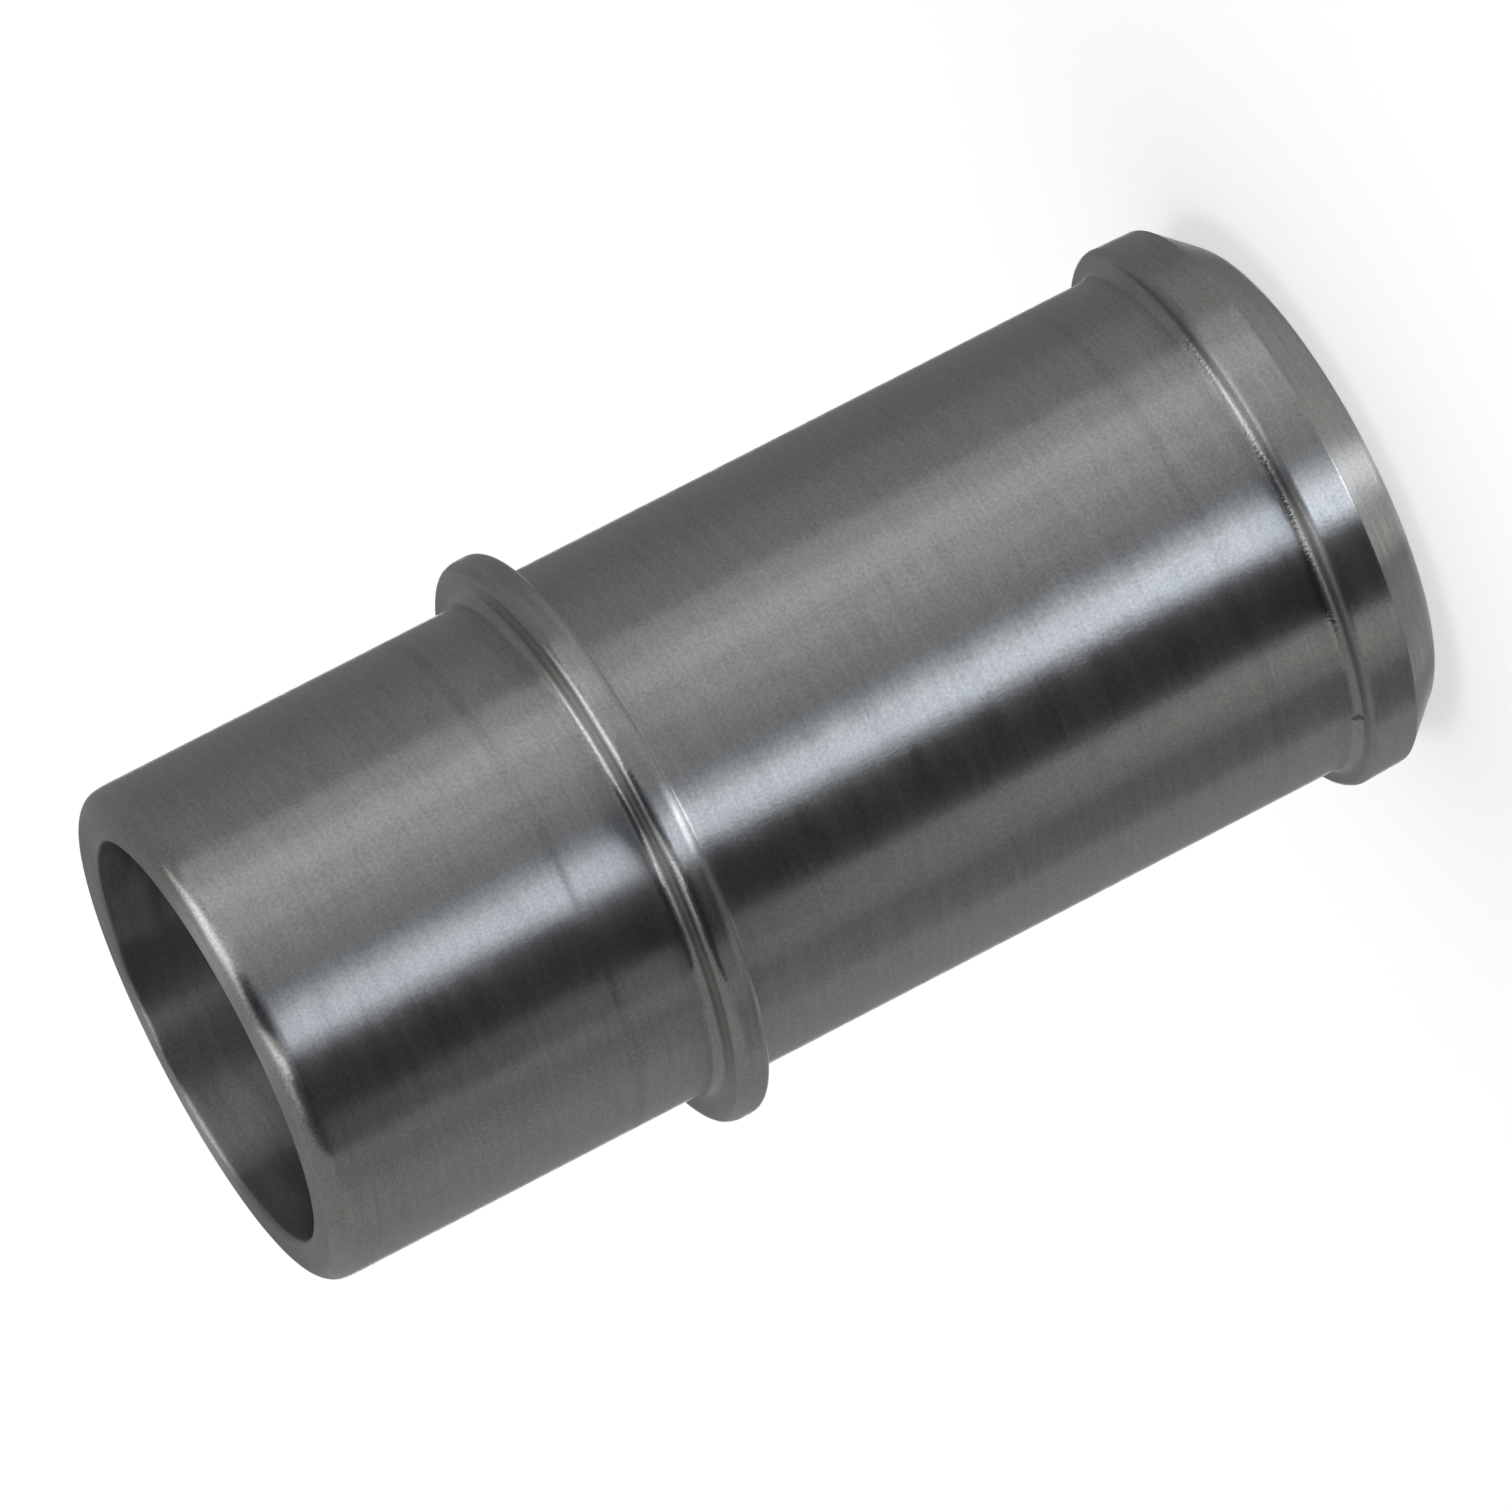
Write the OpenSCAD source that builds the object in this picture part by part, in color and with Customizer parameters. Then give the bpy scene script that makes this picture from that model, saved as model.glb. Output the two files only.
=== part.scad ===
// Press-in hose fitting: one tube turned from bar, standing on its hose end.
// The round nose of the spigot is pressed into a casting up to the collar's
// flat seat. The hose goes over the beaded end and is clamped behind the bead.
// Axis +Z from the hose end up to the press-in end, z = 0 at the hose end.

/* [Through bore] */

// Inside diameter of the tube, straight from end to end
bore_d = 15.24; // [8:0.01:17]
// Radius that breaks the bore's edge at the press-in end
bore_lip_r = 0.2; // [0.05:0.05:0.4]

/* [Press-in spigot] */

// Diameter of the spigot that is pressed in
spigot_d = 18.75; // [17.5:0.05:20.5]
// Length from the collar's seat to the end of the spigot
spigot_len = 15; // [6:0.5:30]
// Radius of the nose that leads the spigot in
nose_r = 0.85; // [0.3:0.05:1]

/* [Stop collar] */

// Outside diameter of the collar
collar_d = 21.5; // [20.8:0.1:30]
// Thickness of the collar along the axis
collar_w = 1.3; // [1:0.1:5]
// Radius on the edge of the seat, towards the spigot
seat_edge_r = 0.2; // [0.05:0.05:0.4]
// Radius on the collar's other edge, towards the hose
back_edge_r = 0.35; // [0.05:0.05:0.5]
// Fillet between the spigot and the seat
seat_fillet_r = 0.2; // [0.05:0.05:0.4]
// Fillet between the collar's back and the hose barrel
back_fillet_r = 0.3; // [0.05:0.05:0.5]

/* [Hose barrel] */

// Diameter that the hose grips
hose_d = 19.05; // [18:0.05:19.6]
// Free length between the collar and the bead
hose_len = 24; // [8:0.5:60]

/* [Retaining bead] */

// Diameter over the bead at its shoulder
bead_d = 20.75; // [20:0.05:24]
// Length of the bead's land, from the shoulder to the lead-in
bead_land = 1.8; // [0.8:0.1:4]
// Slope of the land, falling towards the lead-in, in degrees
land_slope = 2; // [0:0.5:4]
// Slope of the lead-in that the hose rides up, in degrees from the axis
lead_angle = 42; // [35:1:55]
// Radius that rounds the lead-in over into the end face
end_round_r = 1.5; // [0.4:0.1:1.6]
// Outside diameter of the flat ring left on the end face
end_face_d = 15.9; // [15.5:0.1:17]
// Fillet at the foot of the shoulder
shoulder_fillet_r = 0.22; // [0.05:0.01:0.3]
// Radius on the shoulder's edge
shoulder_edge_r = 0.12; // [0.05:0.01:0.2]

/* [Hidden] */

$fn = 96;

steel = [0.62, 0.61, 0.59];

// Radii of the turned diameters
bore_r = bore_d / 2;
spigot_r = spigot_d / 2;
collar_r = collar_d / 2;
hose_r = hose_d / 2;
bead_r = bead_d / 2;
end_face_r = end_face_d / 2;

// The land falls from the shoulder to the start of the lead-in
land_end_r = bead_r - bead_land * tan(land_slope);

// Height of the lead-in, from where the land ends to the end face,
// so that its line runs tangent into the end rounding
lead_len = ((land_end_r - end_face_r) * cos(lead_angle)
    - end_round_r * (1 - sin(lead_angle))) / sin(lead_angle);
lead_top_z = lead_len;

// The lead-in's foot lies this far inside the rounding, so that they meet
// in one clean edge
foot_bite = 0.0005;
foot_r = end_round_r - foot_bite;
lead_foot_r = end_face_r + foot_r * cos(lead_angle);
lead_foot_z = end_round_r - foot_r * sin(lead_angle);

// Heights of the steps, counted up from the hose end
shoulder_z = lead_top_z + bead_land;
back_z = shoulder_z + hose_len;
seat_z = back_z + collar_w;
top_z = seat_z + spigot_len;

// How far a cutting outline runs past the surface that it trims
past = 1;

// Half section of a straight length, from the axis out to radius r
module length_of(r, z0, z1) {
    translate([0, z0])
        square([r, z1 - z0]);
}

// What is turned off an outer edge at (r, z) to leave it with a radius;
// the stock lies below the edge for side = 1 and above it for side = -1
module edge_waste(r, z, edge_r, side) {
    translate([r - edge_r, z - side * edge_r])
        scale_side(side)
            difference() {
                square([edge_r + past, edge_r + past]);
                circle(r = edge_r);
            }
}

// What stays in an inner corner at (r, z) as a fillet;
// the corner opens upward for side = 1 and downward for side = -1
module corner_fill(r, z, fillet_r, side) {
    translate([r, z])
        scale_side(side)
            difference() {
                square([fillet_r, fillet_r]);
                translate([fillet_r, fillet_r])
                    circle(r = fillet_r);
            }
}

// Turns an upward outline over for side = -1
module scale_side(side) {
    mirror([0, side > 0 ? 0 : 1])
        children();
}

// Straight spigot with its rounded nose
module spigot_section() {
    difference() {
        length_of(spigot_r, seat_z, top_z);
        edge_waste(spigot_r, top_z, nose_r, 1);
    }
}

// Collar with a flat seat, two rounded edges and a fillet on each side
module collar_section() {
    difference() {
        length_of(collar_r, back_z, seat_z);
        edge_waste(collar_r, seat_z, seat_edge_r, 1);
        edge_waste(collar_r, back_z, back_edge_r, -1);
    }
    corner_fill(spigot_r, seat_z, seat_fillet_r, 1);
    corner_fill(hose_r, back_z, back_fillet_r, -1);
}

// Straight barrel under the hose
module hose_section() {
    length_of(hose_r, shoulder_z, back_z);
}

// Bead: square shoulder, falling land, lead-in and rounded end
module bead_section() {
    difference() {
        polygon([
            [0, 0],
            [end_face_r, 0],
            [lead_foot_r, lead_foot_z],
            [land_end_r, lead_top_z],
            [bead_r, shoulder_z],
            [0, shoulder_z]
        ]);
        edge_waste(bead_r, shoulder_z, shoulder_edge_r, 1);
    }
    translate([end_face_r, end_round_r])
        circle(r = end_round_r);
    corner_fill(hose_r, shoulder_z, shoulder_fillet_r, 1);
}

// Bore with its broken edge at the press-in end
module bore_section() {
    translate([0, -past])
        square([bore_r, top_z + 2 * past]);
    difference() {
        translate([0, top_z - bore_lip_r])
            square([bore_r + bore_lip_r, bore_lip_r + past]);
        translate([bore_r + bore_lip_r, top_z - bore_lip_r])
            circle(r = bore_lip_r);
    }
}

module hose_fitting() {
    color(steel)
        rotate_extrude()
            difference() {
                union() {
                    spigot_section();
                    collar_section();
                    hose_section();
                    bead_section();
                }
                bore_section();
            }
}

hose_fitting();
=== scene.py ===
# %% [markdown]
# # Turning a press-in hose fitting
#
# The real part is one short tube, turned from a bar of steel on a lathe. Its
# round-nosed end is pressed into a casting until the collar seats, and a hose
# goes over the beaded end. There is nothing to assemble, so all of the work
# is in two things: an outline that is cut cleanly, and bare metal that looks
# as if a tool had just left it.
#
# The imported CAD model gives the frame: millimetre-true sizes, with +Z along
# the bore. It is loaded first and never changed.

import math

import bmesh
import bpy
from mathutils import Matrix, Vector


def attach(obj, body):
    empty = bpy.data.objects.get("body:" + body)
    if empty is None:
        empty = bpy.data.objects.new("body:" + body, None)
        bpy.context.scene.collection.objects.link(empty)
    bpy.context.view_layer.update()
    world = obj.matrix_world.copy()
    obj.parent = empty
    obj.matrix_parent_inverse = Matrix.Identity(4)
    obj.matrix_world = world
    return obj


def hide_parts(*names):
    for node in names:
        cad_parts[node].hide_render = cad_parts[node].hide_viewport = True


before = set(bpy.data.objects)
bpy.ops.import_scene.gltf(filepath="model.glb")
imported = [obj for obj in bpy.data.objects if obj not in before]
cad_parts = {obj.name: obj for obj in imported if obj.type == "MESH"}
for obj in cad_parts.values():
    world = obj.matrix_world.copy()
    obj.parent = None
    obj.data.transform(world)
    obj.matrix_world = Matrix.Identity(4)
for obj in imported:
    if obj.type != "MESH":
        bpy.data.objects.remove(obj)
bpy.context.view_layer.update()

# %% [markdown]
# ## The sizes on the drawing
#
# A turner works from a half section: a radius and a height for every corner,
# and the radius that each corner is broken or filleted with. The same list
# drives the modelling here. Heights count up from the hose end, which the
# part stands on.

# %% Corners of the half section
MM = 0.001
BORE, SPIGOT, COLLAR, BARREL, BEAD = 7.62, 9.375, 10.75, 9.525, 10.375
SHOULDER, BACK, SEAT, TOP = 3.6819, 27.6819, 28.9819, 43.9819
LEAD_TOP, LAND_END = 1.8819, 10.3122
END_CORNER, END_ROUND = 8.6182, 1.5

OUTLINE = [
    # radius, height, rounding
    (BORE, 0.0, 0.05),
    (END_CORNER, 0.0, END_ROUND),
    (LAND_END, LEAD_TOP, 0.12),
    (BEAD, SHOULDER, 0.27),
    (BARREL, SHOULDER, 0.38),
    (BARREL, BACK, 0.30),
    (COLLAR, BACK, 0.46),
    (COLLAR, SEAT, 0.40),
    (SPIGOT, SEAT, 0.36),
    (SPIGOT, TOP, 0.85),
    (BORE, TOP, 0.20),
]
print("Corners on the half section:", len(OUTLINE))

# %% [markdown]
# ## The path of the cutting tool
#
# Every corner of the real part is a small arc, left by the nose of the tool or
# put there with a file. `tool_path` replaces each corner by its arc. It also
# sets a close pair of points just before and after each arc, so that smooth
# shading stays flat on the straight lengths and bends only on the arcs.


# %% Work out the path
def tool_path(corners, arc_step=7.0, guard=0.03):
    """Points (radius, height) once round the section, with rounded corners."""
    points = []
    count = len(corners)
    for i, (r, z, rounding) in enumerate(corners):
        here = Vector((r, z))
        to_last = (Vector(corners[i - 1][:2]) - here).normalized()
        to_next = (Vector(corners[(i + 1) % count][:2]) - here).normalized()
        half = to_last.angle(to_next) / 2
        middle = here + (to_last + to_next).normalized() * rounding / math.sin(half)
        reach = rounding / math.tan(half)
        start, end = here + to_last * reach, here + to_next * reach
        bend = math.pi - 2 * half
        steps = max(3, round(math.degrees(bend) / arc_step))
        spoke = start - middle
        way = 1 if spoke.cross(end - middle) > 0 else -1
        points.append(start + to_last * min(guard, reach))
        for k in range(steps + 1):
            c, s = math.cos(bend * k / steps), way * math.sin(bend * k / steps)
            points.append(middle + Vector((spoke.x * c - spoke.y * s, spoke.x * s + spoke.y * c)))
        points.append(end + to_next * min(guard, reach))
    return points


path = tool_path(OUTLINE)
print("Points on the tool's path:", len(path))

# %% [markdown]
# ## Turn the piece
#
# A primitive is brought down to one point, the tool's start. That point is
# extruded along the path to draw the half section, and the closed section is
# spun once round the bore's axis, as the bar turns under the tool. 288 steps
# keep the edges round even in a close view. The seam of the spin is then
# closed, and the normals are made to point out of the metal.


# %% Helpers for edit mode
def nothing_selected():
    """Deselects every object, because operators act on all that is selected."""
    bpy.ops.object.select_all(action="DESELECT")


def draw_section(name, points):
    """A closed wire in the XZ plane, drawn by extruding one point."""
    nothing_selected()
    bpy.ops.mesh.primitive_plane_add(size=MM, location=(0, 0, 0))
    piece = bpy.context.object
    piece.name = piece.data.name = name
    bpy.ops.object.mode_set(mode="EDIT")
    bpy.ops.mesh.select_all(action="SELECT")
    bpy.ops.mesh.merge(type="CENTER")
    at = Vector((0, 0, 0))
    first = Vector((points[0].x, 0, points[0].y)) * MM
    bpy.ops.transform.translate(value=first - at)
    at = first
    for p in points[1:]:
        there = Vector((p.x, 0, p.y)) * MM
        bpy.ops.mesh.extrude_region_move(TRANSFORM_OT_translate={"value": there - at})
        at = there
    bpy.ops.mesh.select_all(action="DESELECT")
    mesh = bmesh.from_edit_mesh(piece.data)
    for v in mesh.verts:
        v.select = len(v.link_edges) == 1
    bmesh.update_edit_mesh(piece.data)
    bpy.ops.mesh.edge_face_add()
    return piece


def spin_round(piece, steps):
    """Spins the open section once round +Z and closes the seam."""
    bpy.ops.mesh.select_all(action="SELECT")
    bpy.ops.mesh.spin(steps=steps, angle=math.tau, center=(0, 0, 0), axis=(0, 0, 1))
    bpy.ops.mesh.select_all(action="SELECT")
    bpy.ops.mesh.remove_doubles(threshold=0.002 * MM)
    bpy.ops.mesh.normals_make_consistent(inside=False)
    bpy.ops.object.mode_set(mode="OBJECT")


def open_edges(piece):
    """How many edges don't lie between exactly two faces."""
    mesh = bmesh.new()
    mesh.from_mesh(piece.data)
    count = sum(1 for e in mesh.edges if len(e.link_faces) != 2)
    mesh.free()
    return count


# %% Spin the section
STEPS_ROUND = 288

fitting = draw_section("hose_fitting_turned", path)
spin_round(fitting, STEPS_ROUND)
bpy.ops.object.shade_smooth()
print("Faces:", len(fitting.data.polygons), "open edges:", open_edges(fitting))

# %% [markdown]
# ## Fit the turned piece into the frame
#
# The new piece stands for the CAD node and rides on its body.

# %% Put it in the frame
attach(fitting, "root")
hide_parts("hose_fitting")

# %% [markdown]
# ## Bare turned steel
#
# Turned steel isn't grey paint. The tool leaves fine rings round the part.
# Light that falls on them is thrown far along the axis, while round the part
# the reflections stay fairly sharp. That is why a turned tube shows straight
# bands from end to end, and why the metal goes dark just above the collar and
# the bead: they stand in the way of light that comes from low down. The
# shader does this with full anisotropy, its tangent running round the axis,
# and a quarter turn that puts the wide spread along the axis.
#
# The rings need a pattern that is the same all the way round and varies along
# the section. Radius and height together do that on every surface of the
# part: on the tube the height changes, and on the faces the radius does.

# %% Small helpers for node trees
def add_node(tree, kind, place, **settings):
    """One shader node with its settings and the values of its inputs."""
    node = tree.nodes.new(kind)
    node.location = place
    for key, value in settings.items():
        if key.startswith("in_"):
            node.inputs[key.removeprefix("in_").replace("_", " ")].default_value = value
        else:
            setattr(node, key, value)
    return node


def maths(tree, operation, place, a, b=None, c=None):
    """A Math node; a, b and c are sockets or numbers."""
    node = add_node(tree, "ShaderNodeMath", place, operation=operation)
    for socket, value in zip(node.inputs, (a, b, c)):
        if value is None:
            continue
        if isinstance(value, (int, float)):
            socket.default_value = value
        else:
            tree.links.new(value, socket)
    return node.outputs[0]


def weighed(tree, place, parts):
    """The sum of several sockets, each times its weight."""
    total = 0.0
    for k, (socket, weight) in enumerate(parts):
        spot = (place[0] + 40 * k, place[1] - 60 * k)
        total = maths(tree, "MULTIPLY_ADD", spot, socket, weight, total)
    return total


def fade_between(tree, place, value, none_at, full_at):
    """A soft step: 0 where the value is none_at and 1 where it is full_at."""
    fade = add_node(
        tree, "ShaderNodeMapRange", place, interpolation_type="SMOOTHSTEP",
        in_From_Min=none_at, in_From_Max=full_at,
    )
    tree.links.new(value, fade.inputs["Value"])
    return fade.outputs["Result"]


# %% The group that finds radius and height
def section_group():
    """Group: a place on the piece in millimetres, as radius, height, X and Y."""
    group = bpy.data.node_groups.new("section place", "ShaderNodeTree")
    for name in ("Radius", "Height", "X", "Y"):
        group.interface.new_socket(name, in_out="OUTPUT", socket_type="NodeSocketFloat")
    out = group.nodes.new("NodeGroupOutput")
    where = add_node(group, "ShaderNodeTexCoord", (-900, 0))
    in_mm = add_node(group, "ShaderNodeVectorMath", (-700, 0), operation="SCALE", in_Scale=1 / MM)
    group.links.new(where.outputs["Object"], in_mm.inputs[0])
    split = add_node(group, "ShaderNodeSeparateXYZ", (-500, 0))
    group.links.new(in_mm.outputs[0], split.inputs[0])
    xx = maths(group, "MULTIPLY", (-300, 100), split.outputs[0], split.outputs[0])
    yy = maths(group, "MULTIPLY", (-300, -50), split.outputs[1], split.outputs[1])
    radius = maths(group, "SQRT", (0, 50), maths(group, "ADD", (-150, 50), xx, yy))
    group.links.new(radius, out.inputs["Radius"])
    group.links.new(split.outputs[2], out.inputs["Height"])
    group.links.new(split.outputs[0], out.inputs["X"])
    group.links.new(split.outputs[1], out.inputs["Y"])
    return group


section_place = section_group()


# %% The group that lays tool marks
def tool_mark_group():
    """Group: broken rings. Pitch is rings per mm, Broken is how soon they end."""
    group = bpy.data.node_groups.new("tool marks", "ShaderNodeTree")
    for name in ("Pitch", "Broken", "Seed"):
        group.interface.new_socket(name, in_out="INPUT", socket_type="NodeSocketFloat")
    group.interface.new_socket("Marks", in_out="OUTPUT", socket_type="NodeSocketFloat")
    given = group.nodes.new("NodeGroupInput")
    given.location = (-900, -200)
    out = group.nodes.new("NodeGroupOutput")
    place = add_node(group, "ShaderNodeGroup", (-900, 100), node_tree=section_place)
    along = maths(group, "MULTIPLY", (-650, 200), place.outputs["Height"], given.outputs["Pitch"])
    across = maths(group, "MULTIPLY", (-650, 50), place.outputs["Radius"], given.outputs["Pitch"])
    ring = maths(group, "ADD", (-480, 150), along, across)
    x = maths(group, "MULTIPLY", (-480, -50), place.outputs["X"], given.outputs["Broken"])
    y = maths(group, "MULTIPLY", (-480, -200), place.outputs["Y"], given.outputs["Broken"])
    where = add_node(group, "ShaderNodeCombineXYZ", (-300, 50))
    group.links.new(x, where.inputs[0])
    group.links.new(y, where.inputs[1])
    group.links.new(ring, where.inputs[2])
    noise = add_node(
        group, "ShaderNodeTexNoise", (-120, 50), noise_dimensions="4D",
        in_Scale=1.0, in_Detail=2.0, in_Roughness=0.55,
    )
    group.links.new(where.outputs[0], noise.inputs["Vector"])
    group.links.new(given.outputs["Seed"], noise.inputs["W"])
    group.links.new(noise.outputs["Fac"], out.inputs["Marks"])
    return group


tool_marks = tool_mark_group()


def marks(tree, place, pitch, broken, seed):
    """Places the tool marks in a material with their own values."""
    node = add_node(
        tree, "ShaderNodeGroup", place, node_tree=tool_marks,
        in_Pitch=pitch, in_Broken=broken, in_Seed=seed,
    )
    return node.outputs["Marks"]


# %% [markdown]
# ## Places that differ
#
# Some places on the section have a finish of their own. The fillets beside the
# bead and the spigot, the edge of the collar's seat and the nose come out
# smoother, because the corner of the tool rubs there. At the bead's foot the
# tool has chattered. A faint ring on the barrel and one on the spigot show
# where one cut ended and the next began, and a small nick sits beside the
# bead. Each place is a mask in the piece's own coordinates, so that it lies
# on the metal from every side.

# %% Masks that follow the section
def near_ring(tree, place, radius, height, reach):
    """1 on the ring at that radius and height, falling to 0 at reach, in mm."""
    x, y = place
    where = add_node(tree, "ShaderNodeGroup", place, node_tree=section_place)
    squares = []
    for k, (axis, value) in enumerate((("Radius", radius), ("Height", height))):
        if value is not None:
            off = maths(tree, "SUBTRACT", (x + 180, y - 160 * k), where.outputs[axis], value)
            squares.append(maths(tree, "MULTIPLY", (x + 360, y - 160 * k), off, off))
    total = squares[0]
    if len(squares) > 1:
        total = maths(tree, "ADD", (x + 540, y), *squares)
    far = maths(tree, "SQRT", (x + 720, y), total)
    return fade_between(tree, (x + 900, y), far, reach, reach * 0.3)


def near_spot(tree, place, spot, size):
    """1 in a small flat spot on the piece, falling to 0 at its rim; size in mm."""
    x, y = place
    scale = [1 / (MM * width) for width in size]
    coords = add_node(tree, "ShaderNodeTexCoord", place)
    shift = add_node(
        tree, "ShaderNodeMapping", (x + 180, y), vector_type="POINT",
        in_Location=[-c * MM * k for c, k in zip(spot, scale)], in_Scale=scale,
    )
    tree.links.new(coords.outputs["Object"], shift.inputs["Vector"])
    far = add_node(tree, "ShaderNodeVectorMath", (x + 360, y), operation="LENGTH")
    tree.links.new(shift.outputs[0], far.inputs[0])
    return fade_between(tree, (x + 540, y), far.outputs["Value"], 1.0, 0.4)


def either(tree, place, *masks):
    """The greatest of several masks."""
    most = masks[0]
    for k, mask in enumerate(masks[1:]):
        most = maths(tree, "MAXIMUM", (place[0], place[1] - 60 * k), most, mask)
    return most


def step_down(tree, place, height, wide=0.36):
    """1 below that height and 0 above it, as where a cut ended."""
    x, y = place
    where = add_node(tree, "ShaderNodeGroup", place, node_tree=section_place)
    at = where.outputs["Height"]
    return fade_between(tree, (x + 200, y), at, height + wide / 2, height - wide / 2)


# %% [markdown]
# ## Mix the steel
#
# Four patterns go into the steel: fine rings, broad rings, a small grain and
# a slow drift. The first three make the colour lighter and darker by a few
# hundredths. Kept this small they read as turning marks. Any stronger and
# they turn into black hairlines. The nick is the one place that is painted
# much darker than the rest.

# %% Where the finish differs
# Heights where one cut ended, and how far its faint ring reaches
BARREL_CUT, SPIGOT_CUT, CUT_REACH = SHOULDER + 3.10, SEAT + 3.15, 0.34
NICK_AT, NICK_SIZE = (-8.22, -5.06, 3.86), (0.18, 0.24, 0.30)
CHATTER = (BARREL + 0.095, SHOULDER + 0.1181, 0.32)
RUBBED = [
    # radius, height, reach
    (BARREL + 0.12, SHOULDER + 0.12, 0.48),
    (SPIGOT + 0.12, SEAT + 0.12, 0.46),
    (COLLAR - 0.08, SEAT - 0.08, 0.50),
    (SPIGOT - 0.22, TOP - 0.30, 0.70),
]
print("Rings that the tool rubbed smooth:", len(RUBBED))


# %% Patterns
def specks(tree, place, per_mm):
    """Noise with so many specks in a millimetre, fixed to the piece."""
    coords = add_node(tree, "ShaderNodeTexCoord", (place[0] - 200, place[1]))
    noise = add_node(tree, "ShaderNodeTexNoise", place, in_Scale=per_mm / MM, in_Detail=1.0)
    tree.links.new(coords.outputs["Object"], noise.inputs["Vector"])
    return noise.outputs["Fac"]


# %% Colour
DARK_STEEL, LIGHT_STEEL = (0.385, 0.376, 0.360, 1), (0.535, 0.524, 0.502, 1)
# The tones of the mixed patterns that stand for the dark and the light steel
DARK_TONE, LIGHT_TONE = 0.525, 0.925


def steel_colour(tree, fine, broad, grain, nick):
    """A grey that the rings and the grain make lighter and darker."""
    streaks = weighed(tree, (-1200, 300), ((fine, 0.45), (broad, 0.55)))
    tone = weighed(tree, (-1000, 300), ((streaks, 0.75), (grain, 0.70)))
    joins = either(
        tree, (-1000, 900),
        near_ring(tree, (-2100, 900), None, BARREL_CUT, CUT_REACH),
        near_ring(tree, (-2100, 1300), None, SPIGOT_CUT, CUT_REACH),
    )
    dulled = weighed(tree, (-900, 500), ((tone, 1.0), (joins, -0.10), (nick, -0.65)))
    spread = add_node(
        tree, "ShaderNodeMapRange", (-800, 300), clamp=False,
        in_From_Min=DARK_TONE, in_From_Max=LIGHT_TONE,
    )
    tree.links.new(dulled, spread.inputs["Value"])
    colour = add_node(
        tree, "ShaderNodeMix", (-500, 300), data_type="RGBA", clamp_factor=False,
        in_A=DARK_STEEL, in_B=LIGHT_STEEL,
    )
    tree.links.new(spread.outputs[0], colour.inputs["Factor"])
    return colour.outputs["Result"]


# %% [markdown]
# The broad rings change the roughness a little, and the places that the tool
# rubbed are smoother. All of the patterns lie in the bump as well, and at the
# ring on the spigot the surface steps down a little. The drift keeps the bands
# of light from being ruler straight.

# %% Roughness and relief
ROUGHNESS, MORE_IN_RINGS, LESS_WHERE_RUBBED = 0.23, 0.20, 0.12


def steel_roughness(tree, broad):
    """Even but for the broad rings, and smoother where the tool rubbed."""
    rings = [near_ring(tree, (-2100, 1700 + 400 * k), *ring) for k, ring in enumerate(RUBBED)]
    rubbed = either(tree, (-700, -50), *rings)
    rough = maths(tree, "MULTIPLY_ADD", (-600, 0), broad, MORE_IN_RINGS, ROUGHNESS)
    smoother = maths(tree, "MULTIPLY", (-600, -100), rubbed, LESS_WHERE_RUBBED)
    return maths(tree, "SUBTRACT", (-500, 0), rough, smoother)


def steel_relief(tree, fine, broad, grain, nick):
    """The height of the surface, in parts of the bump's distance."""
    drift = specks(tree, (-1500, -600), per_mm=0.5)
    bite = specks(tree, (-800, -700), per_mm=8.0)
    torn = maths(tree, "MULTIPLY", (-600, -700), near_ring(tree, (-1700, -900), *CHATTER), bite)
    step = step_down(tree, (-1700, -1300), SPIGOT_CUT)
    return weighed(tree, (-400, -400), (
        (broad, 0.8), (fine, 0.06), (grain, 0.35), (drift, 3.0),
        (torn, 2.0), (step, 4.0), (nick, -6.0),
    ))


# %% The steel itself
BUMP_MM = 0.006


def turned_steel():
    """Bare steel as it comes off the lathe."""
    steel = bpy.data.materials.new("turned steel")
    steel.use_nodes = True
    tree = steel.node_tree
    shader = tree.nodes["Principled BSDF"]
    shader.inputs["Metallic"].default_value = 1.0
    shader.inputs["Anisotropic"].default_value = 1.0
    shader.inputs["Anisotropic Rotation"].default_value = 0.25
    tangent = add_node(tree, "ShaderNodeTangent", (-300, -700), direction_type="RADIAL", axis="Z")
    tree.links.new(tangent.outputs[0], shader.inputs["Tangent"])

    fine = marks(tree, (-1500, 400), pitch=7.0, broken=0.45, seed=1.0)
    broad = marks(tree, (-1500, 150), pitch=2.4, broken=0.25, seed=5.0)
    grain = specks(tree, (-1500, -350), per_mm=9.0)
    nick = near_spot(tree, (-1700, 1500), NICK_AT, NICK_SIZE)
    tree.links.new(steel_colour(tree, fine, broad, grain, nick), shader.inputs["Base Color"])
    tree.links.new(steel_roughness(tree, broad), shader.inputs["Roughness"])

    bump = add_node(
        tree, "ShaderNodeBump", (-100, -400), in_Strength=1.0, in_Distance=BUMP_MM * MM,
    )
    tree.links.new(steel_relief(tree, fine, broad, grain, nick), bump.inputs["Height"])
    tree.links.new(bump.outputs[0], shader.inputs["Normal"])
    return steel


steel = turned_steel()
fitting.data.materials.clear()
fitting.data.materials.append(steel)
print("Material:", steel.name, "nodes:", len(steel.node_tree.nodes))

# %% [markdown]
# ## The camera
#
# In the photograph the part lies across the picture with its press-in end
# towards the viewer. Standing in the frame, that is a view from 13 degrees
# above the floor, with the camera rolled so that +Z runs to the lower left.
# A long lens far away gives the photograph's slight perspective.

# %% Set the camera
bpy.context.scene.view_settings.view_transform = "Standard"

CAMERA_TILT = math.radians(13.0)
CAMERA_TURN = math.radians(27.2)
FOCAL_PIXELS = 16700.0
PICTURE = 1512
SENSOR = 36.0
MM_PER_PIXEL = 0.0344
AIM = Vector((0.080, 0.0, 22.16)) * MM

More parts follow.
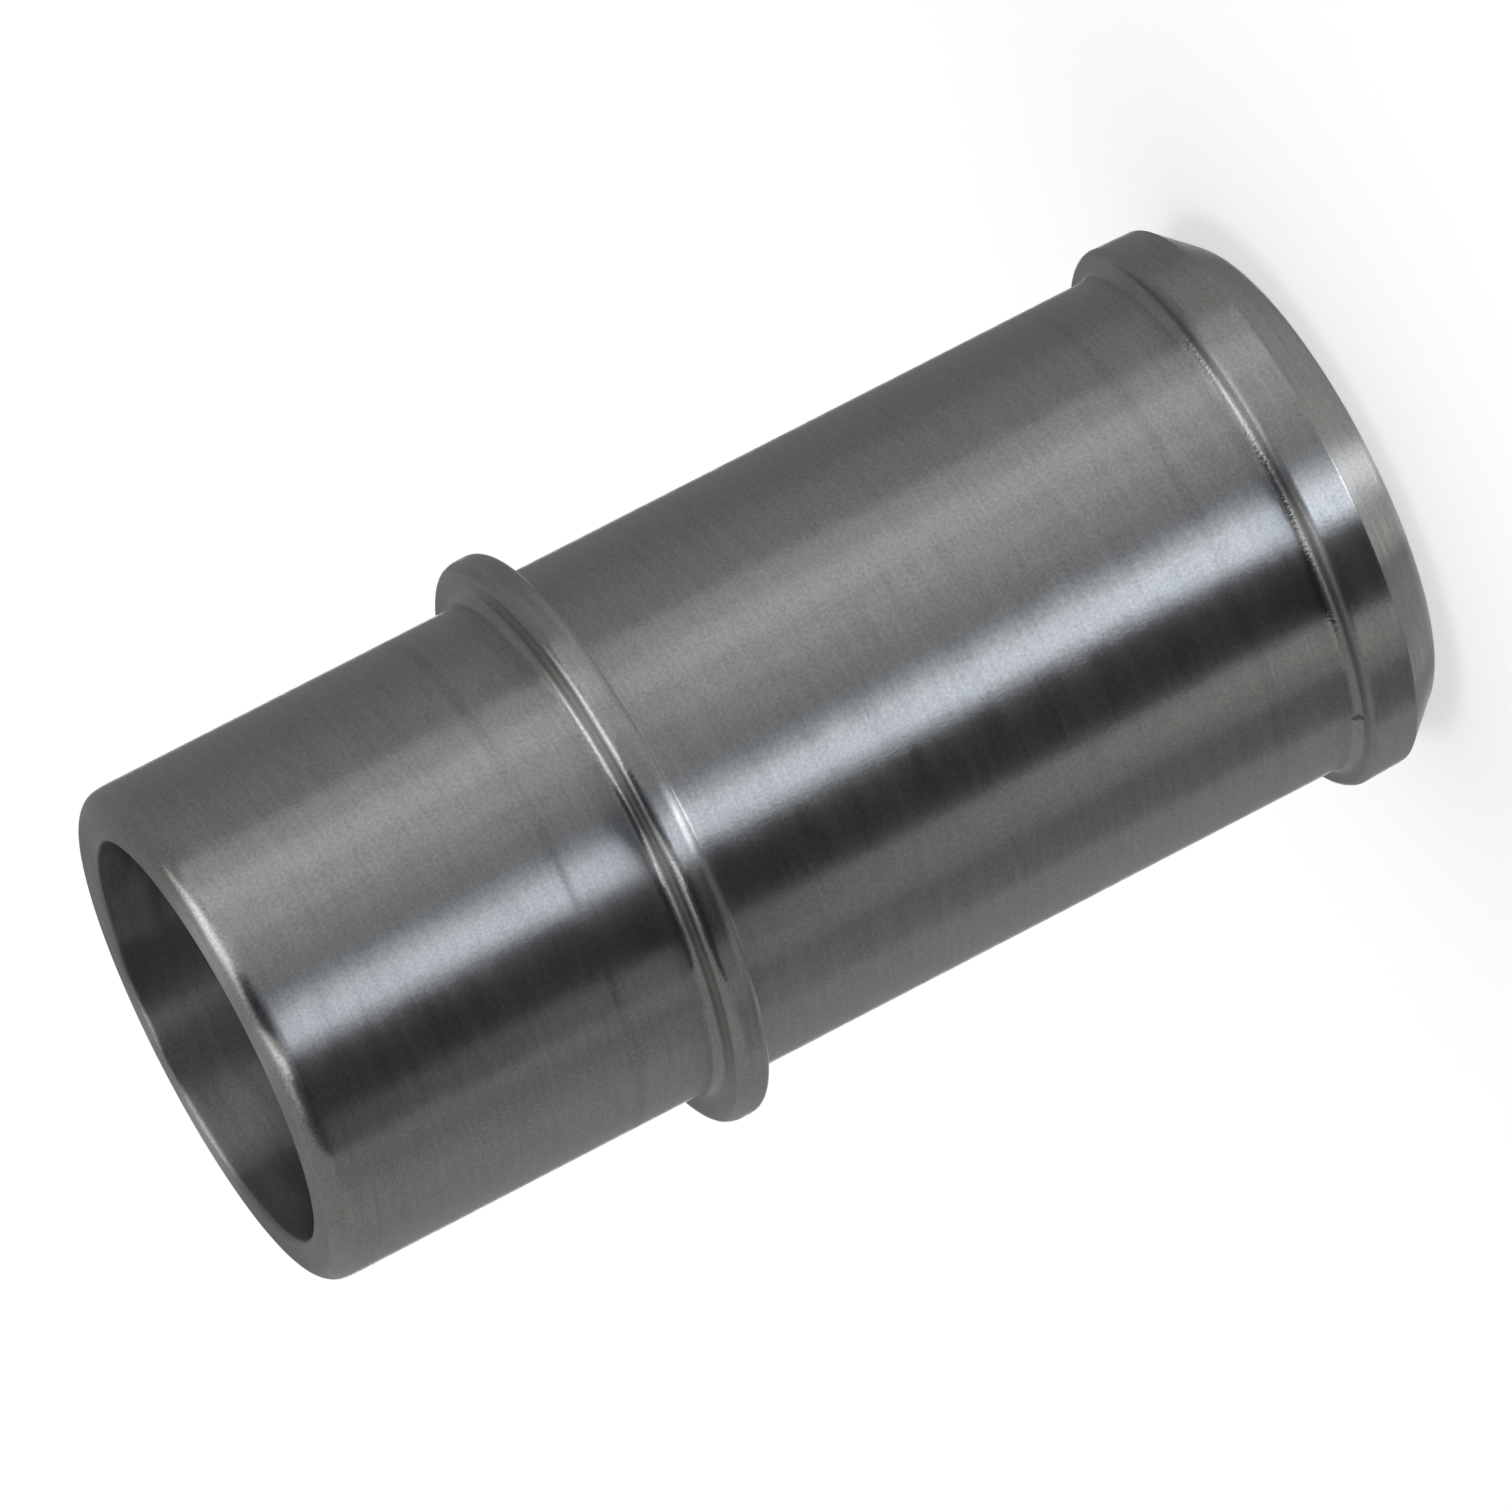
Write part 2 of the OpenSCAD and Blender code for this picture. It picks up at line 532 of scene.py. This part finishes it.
back = Vector((0, -math.cos(CAMERA_TILT), math.sin(CAMERA_TILT)))
up_axis = Vector((0, math.sin(CAMERA_TILT), math.cos(CAMERA_TILT)))
side = Vector((1, 0, 0))
right = -math.cos(CAMERA_TURN) * up_axis - math.sin(CAMERA_TURN) * side
above = -math.sin(CAMERA_TURN) * up_axis + math.cos(CAMERA_TURN) * side

lens_data = bpy.data.cameras.new("camera")
lens_data.sensor_width = SENSOR
lens_data.lens = FOCAL_PIXELS / PICTURE * SENSOR
camera = bpy.data.objects.new("camera", lens_data)
bpy.context.scene.collection.objects.link(camera)
bpy.context.scene.camera = camera
spot = AIM + back * FOCAL_PIXELS * MM_PER_PIXEL * MM
turn = Matrix((right, above, back)).transposed().to_4x4()
camera.matrix_world = Matrix.Translation(spot) @ turn
lens_data.clip_start, lens_data.clip_end = 0.05, 20
print("Camera distance in mm:", round((spot - AIM).length / MM, 1))
print("Lens in mm:", round(lens_data.lens, 1))

# %% [markdown]
# ## Floor and world
#
# The floor is a plain pale sheet. Part of its brightness is its own, for the
# eye only, so that it reads as white paper and still takes a shadow. The
# metal doesn't see this sheet, because the cards further down close it in
# from below as well.


# %% Pale floor
WHITE, PALE = (1, 1, 1, 1), (0.8, 0.8, 0.8, 1)
PAPER_GLOW = 0.5


def seen_or_mirrored(tree, place):
    """1 for the camera's own rays and for reflections, 0 for all other light."""
    rays = add_node(tree, "ShaderNodeLightPath", place).outputs
    return maths(
        tree, "MAXIMUM", (place[0] + 200, place[1]), rays["Is Camera Ray"], rays["Is Glossy Ray"],
    )


def paper():
    """Pale paper: diffuse, with a share of its own brightness for the eye."""
    sheet = bpy.data.materials.new("white paper")
    sheet.use_nodes = True
    tree = sheet.node_tree
    tree.nodes.clear()
    out = add_node(tree, "ShaderNodeOutputMaterial", (400, 0))
    matt = add_node(tree, "ShaderNodeBsdfDiffuse", (0, 100), in_Color=PALE)
    glow = add_node(tree, "ShaderNodeEmission", (0, -100), in_Color=WHITE)
    for_eyes = seen_or_mirrored(tree, (-400, -100))
    own_light = maths(tree, "MULTIPLY", (-100, -200), for_eyes, PAPER_GLOW)
    tree.links.new(own_light, glow.inputs["Strength"])
    both = add_node(tree, "ShaderNodeAddShader", (200, 0))
    tree.links.new(matt.outputs[0], both.inputs[0])
    tree.links.new(glow.outputs[0], both.inputs[1])
    tree.links.new(both.outputs[0], out.inputs["Surface"])
    return sheet


nothing_selected()
bpy.ops.mesh.primitive_plane_add(size=6.0, location=(0, 0, 0))
floor = bpy.context.object
floor.name = "floor"
floor.data.materials.append(paper())
floor.visible_glossy = False

# %% [markdown]
# The world is white for the eye and half as bright as a source of light. That
# way it doesn't wash out the shadow on the floor.

# %% White world
WORLD_LIGHT = 0.5

world = bpy.data.worlds.new("studio")
bpy.context.scene.world = world
world.use_nodes = True
sky = world.node_tree
background = sky.nodes["Background"]
background.inputs["Color"].default_value = WHITE
passed = add_node(sky, "ShaderNodeLightPath", (-600, -200)).outputs["Is Transmission Ray"]
white_for = maths(sky, "MAXIMUM", (-300, -100), seen_or_mirrored(sky, (-600, 0)), passed)
strength = maths(sky, "MULTIPLY_ADD", (-150, 0), white_for, 1 - WORLD_LIGHT, WORLD_LIGHT)
sky.links.new(strength, background.inputs["Strength"])

# %% [markdown]
# ## Cards round the part
#
# Bare metal only shows what stands round it. A photographer stands grey, white
# and black cards round a bright part, and so does this scene: together they
# close it in almost like a tent. Each card is bent like a piece of a ball
# round the part. Its bearings count from the camera, clockwise seen from
# above, and its heights are angles above the horizon. Only reflections see
# the cards.
#
# The brightest band on the tube is a low window, whose panes step upwards to
# the right. The black band beside it is a flag. Four narrow strips stand
# close to the part, and give the soft bands along its lower side. The lamps
# high up give the bright lines on the rounded corners, and a window at the
# back does for the back what the one in front does for the front.

# %% How a card is made
MIDDLE = Vector((0, 0, 22)) * MM
DEGREES_A_STEP = 3


def card_paint(name, tone):
    """A plain card of one tone."""
    paint = bpy.data.materials.new(name)
    paint.use_nodes = True
    paint.cycles.emission_sampling = "NONE"
    tree = paint.node_tree
    tree.nodes.clear()
    out = add_node(tree, "ShaderNodeOutputMaterial", (200, 0))
    glow = add_node(tree, "ShaderNodeEmission", (0, 0), in_Color=(*tone, 1), in_Strength=1.0)
    tree.links.new(glow.outputs[0], out.inputs["Surface"])
    return paint


def only_in_reflections(thing):
    """Shows a stage object in the metal and nowhere else."""
    thing.visible_camera = thing.visible_diffuse = thing.visible_shadow = False
    thing.visible_transmission = thing.visible_volume_scatter = False


def bent_card(name, bearings, heights, away, tone):
    """A card from one bearing to another and one height to another, in degrees."""
    nothing_selected()
    bpy.ops.mesh.primitive_plane_add(size=MM, location=MIDDLE)
    card = bpy.context.object
    card.name = name
    bpy.ops.object.mode_set(mode="EDIT")
    bpy.ops.mesh.select_all(action="SELECT")
    bpy.ops.mesh.merge(type="CENTER")
    a, b = math.radians(bearings[0]), math.radians(heights[0])
    corner = Vector((-math.sin(a) * math.cos(b), -math.cos(a) * math.cos(b), math.sin(b)))
    bpy.ops.transform.translate(value=corner * away)
    for turned, axis in (
        (heights[1] - heights[0], (math.cos(a), -math.sin(a), 0)),
        (bearings[1] - bearings[0], (0, 0, 1)),
    ):
        bpy.ops.mesh.select_all(action="SELECT")
        steps = max(2, round(turned / DEGREES_A_STEP))
        bpy.ops.mesh.spin(steps=steps, angle=math.radians(turned), center=MIDDLE, axis=axis)
    bpy.ops.object.mode_set(mode="OBJECT")
    card.data.materials.append(card_paint(name, tone))
    only_in_reflections(card)


# %% Hang the cards
FAR, NEAR = 0.40, 0.06
PLAIN = (1.0, 1.0, 1.0)
LAMP = (0.97, 0.99, 1.04)
DAYLIGHT = (0.88, 0.98, 1.13)
SHADE = (1.04, 0.93, 1.08)
CARDS = [
    # name, bearings, heights, metres away, brightness, tint
    ("ceiling lamp left", (-90, -30), (75, 90), FAR, 1.50, LAMP),
    ("ceiling front", (-30, 20), (75, 90), FAR, 0.43, PLAIN),
    ("ceiling lamp right", (20, 60), (75, 90), FAR, 1.20, LAMP),
    ("ceiling side", (60, 90), (75, 90), FAR, 0.43, PLAIN),
    ("ceiling back", (90, 270), (75, 90), FAR, 0.32, PLAIN),
    ("table", (30, 340), (-90, -75), FAR, 0.63, PLAIN),
    ("table front", (-20, 30), (-90, -75), FAR, 0.90, PLAIN),
    ("back wall right", (115, 168), (-40, 75), FAR, 0.32, PLAIN),
    ("back wall right low", (115, 168), (-75, -40), FAR, 1.25, PLAIN),
    ("back wall high", (168, 192), (30, 75), FAR, 0.40, PLAIN),
    ("back wall", (168, 192), (-5, 30), FAR, 0.24, PLAIN),
    ("back window", (168, 192), (-34, -5), FAR, 2.00, LAMP),
    ("back wall low", (168, 192), (-75, -34), FAR, 0.30, PLAIN),
    ("back wall left", (192, 245), (-40, 75), FAR, 0.23, PLAIN),
    ("back wall left low", (192, 245), (-75, -40), FAR, 0.25, PLAIN),
    ("left wall low", (-115, -18), (-75, -25), FAR, 0.53, PLAIN),
    ("left wall", (-115, -75), (-25, 50), FAR, 0.25, PLAIN),
    ("left lamp high", (-90, -60), (50, 75), FAR, 2.20, LAMP),
    ("left lamp side", (-75, -60), (-25, 50), FAR, 0.53, LAMP),
    ("left lamp", (-60, -30), (15, 50), FAR, 0.48, LAMP),
    ("left lamp skirt", (-60, -45), (-25, 15), FAR, 0.81, LAMP),
    ("left lamp hem", (-45, -30), (-25, 15), FAR, 0.58, LAMP),
    ("left lamp inner side", (-30, -18), (-25, 50), FAR, 0.37, LAMP),
    ("left lamp top", (-60, -30), (50, 75), FAR, 1.60, LAMP),
    ("front wall", (-18, -8), (-75, 20), FAR, 0.38, PLAIN),
    ("front wall high", (-18, 14), (20, 50), FAR, 0.03, SHADE),
    ("front wall top", (-30, 14), (50, 75), FAR, 0.03, SHADE),
    ("curtain foot", (-8, -2), (-75, -36), FAR, 1.30, DAYLIGHT),
    ("curtain", (-8, 0), (-36, 20), FAR, 0.26, DAYLIGHT),
    ("window foot", (-2, 22), (-75, -50), FAR, 3.10, PLAIN),
    ("window left pane", (-2, 5), (-50, -34), FAR, 3.35, DAYLIGHT),
    ("window middle pane", (5, 12), (-50, -28), FAR, 5.40, DAYLIGHT),
    ("window right pane", (12, 20), (-50, -21), FAR, 4.00, DAYLIGHT),
    ("window frame", (20, 24), (-50, -21), FAR, 1.71, DAYLIGHT),
    ("window board left", (-2, 5), (-34, 20), FAR, 0.26, DAYLIGHT),
    ("window board middle", (5, 12), (-28, 20), FAR, 0.26, DAYLIGHT),
    ("window board right", (12, 24), (-21, 20), FAR, 0.26, DAYLIGHT),
    ("right lamp", (14, 24), (20, 60), FAR, 0.36, LAMP),
    ("right lamp high", (24, 36), (42, 72), FAR, 1.70, LAMP),
    ("right lamp side", (36, 60), (55, 75), FAR, 0.80, LAMP),
    ("black flag", (24, 54), (-48, 20), FAR, 0.02, SHADE),
    ("black flag edge", (54, 70), (-48, 20), FAR, 0.04, SHADE),
    ("black flag top", (24, 70), (20, 42), FAR, 0.06, SHADE),
    ("black flag shade", (36, 70), (42, 55), FAR, 0.03, SHADE),
    ("black flag foot", (22, 70), (-75, -48), FAR, 0.26, PLAIN),
    ("right wall high", (70, 115), (20, 75), FAR, 0.31, PLAIN),
    ("right wall", (70, 90), (-48, 20), FAR, 0.27, PLAIN),
    ("right wall far", (90, 115), (-48, 20), FAR, 0.33, PLAIN),
    ("right wall low", (70, 115), (-75, -48), FAR, 1.10, PLAIN),
    ("near strip", (54, 68), (-75, -5), NEAR, 0.46, PLAIN),
    ("near strip pale", (68, 79), (-75, -5), NEAR, 0.33, PLAIN),
    ("near strip dark", (79, 104), (-75, -5), NEAR, 0.16, PLAIN),
    ("near strip far", (104, 135), (-75, -5), NEAR, 0.34, PLAIN),
]
for name, bearings, heights, away, bright, tint in CARDS:
    bent_card(name, bearings, heights, away, tuple(bright * c for c in tint))
print("Cards:", len(CARDS))

# %% [markdown]
# ## The lamp
#
# The cards light the metal. One wide soft lamp hangs above for the floor, and
# gives the part its pale shadow there.


# %% Hang the lamp
def hang_lamp(name, place, size, watts):
    """A soft square lamp that points at the part."""
    data = bpy.data.lights.new(name, "AREA")
    data.shape = "RECTANGLE"
    data.size = data.size_y = size
    data.energy = watts
    lamp = bpy.data.objects.new(name, data)
    bpy.context.scene.collection.objects.link(lamp)
    lamp.location = place
    lamp.rotation_euler = (Vector(place) - MIDDLE).to_track_quat("Z", "Y").to_euler()
    lamp.visible_camera = lamp.visible_glossy = False


hang_lamp("soft lamp above", place=(0.0, 0.1, 0.8), size=0.6, watts=1.2)
